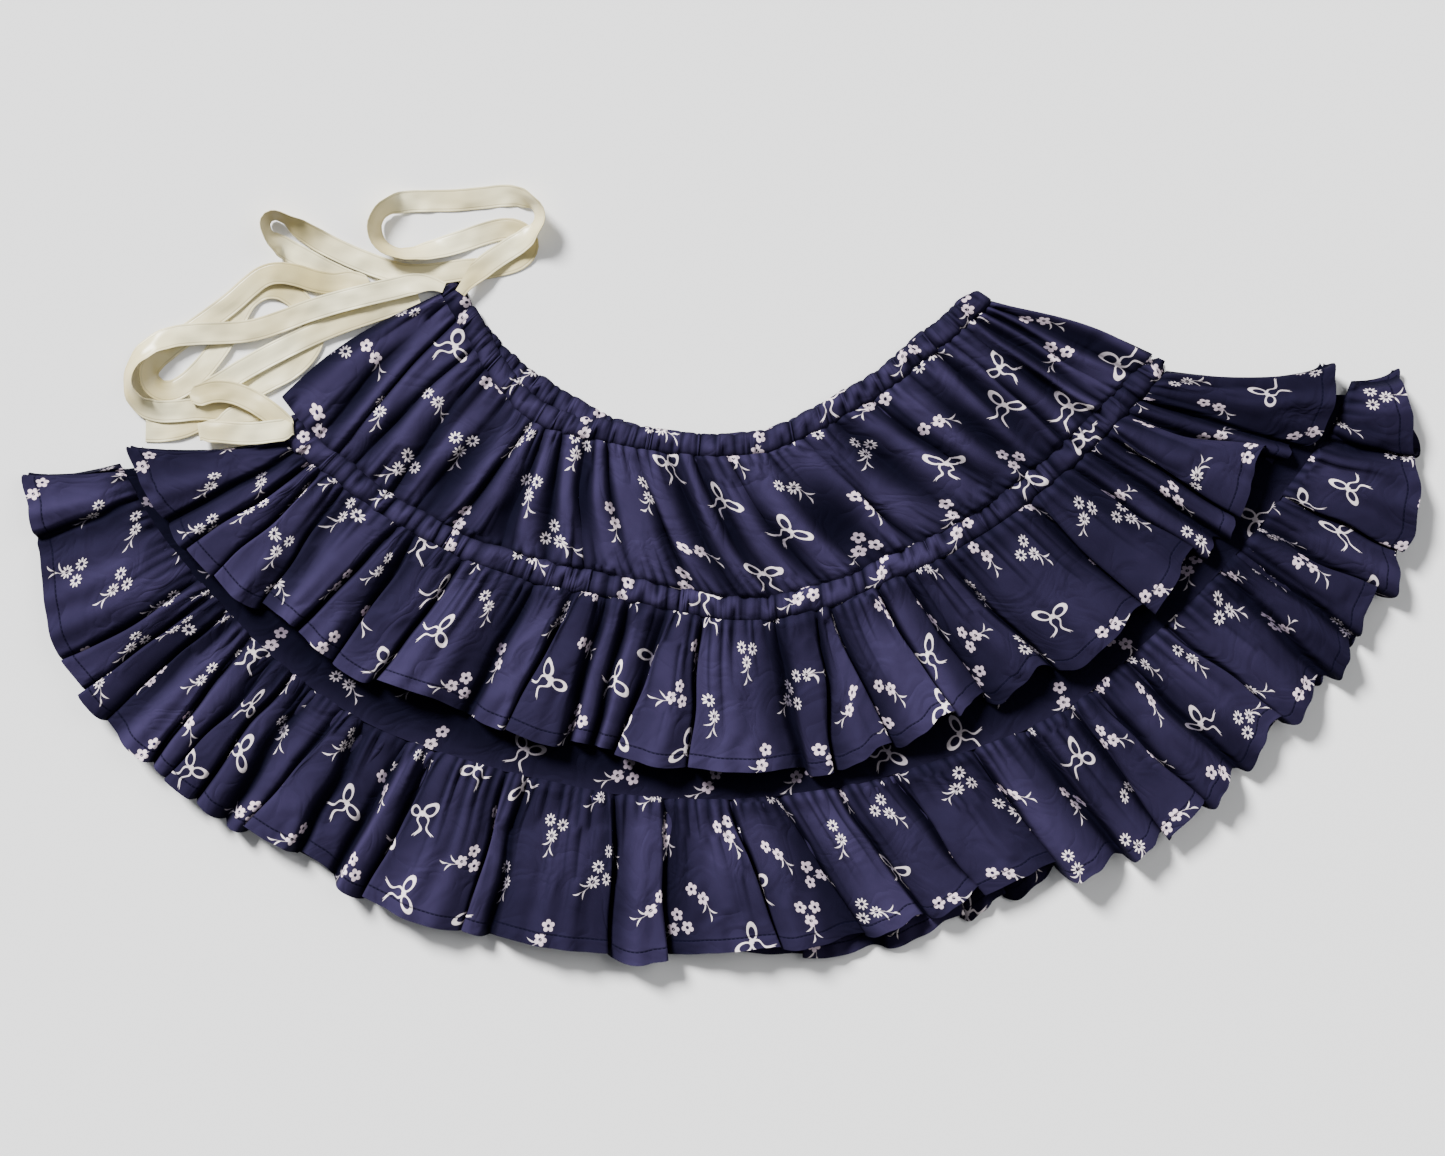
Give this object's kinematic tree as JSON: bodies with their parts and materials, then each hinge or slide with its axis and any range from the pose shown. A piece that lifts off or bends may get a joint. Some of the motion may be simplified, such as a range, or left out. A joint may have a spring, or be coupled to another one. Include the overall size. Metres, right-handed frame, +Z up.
{
  "type": "ruffled mini skirt",
  "caption": "Short gathered skirt laid flat in a fan, with ruched waist and hip casings, tiered fluted ruffles and a flat ribbon drawstring.",
  "frame": {"origin": "centre of the skirt's plan outline, ribbon tails left out, on the plane that the skirt lies on", "axes": "+X along the skirt's widest span, towards the side away from the ribbon; +Y from the hem to the waist; +Z up, out of the cloth"},
  "size_m": [0.9448, 0.5285, 0.0169],
  "materials": {
    "printed_cotton": "soft woven navy cotton with a small light print",
    "satin_ribbon": "smooth ivory satin with woven edges"
  },
  "bodies": {
    "root": {"waist_casing_front": "printed_cotton", "waist_casing_back": "printed_cotton", "upper_panel_front": "printed_cotton", "upper_panel_back": "printed_cotton", "middle_casing_front": "printed_cotton", "middle_casing_back": "printed_cotton", "upper_ruffle_front": "printed_cotton", "upper_ruffle_back": "printed_cotton", "lower_panel_front": "printed_cotton", "lower_panel_back": "printed_cotton", "lower_ruffle_front": "printed_cotton", "lower_ruffle_back": "printed_cotton", "ribbon_tail_left": "satin_ribbon", "ribbon_tail_right": "satin_ribbon"}
  },
  "joints": []
}
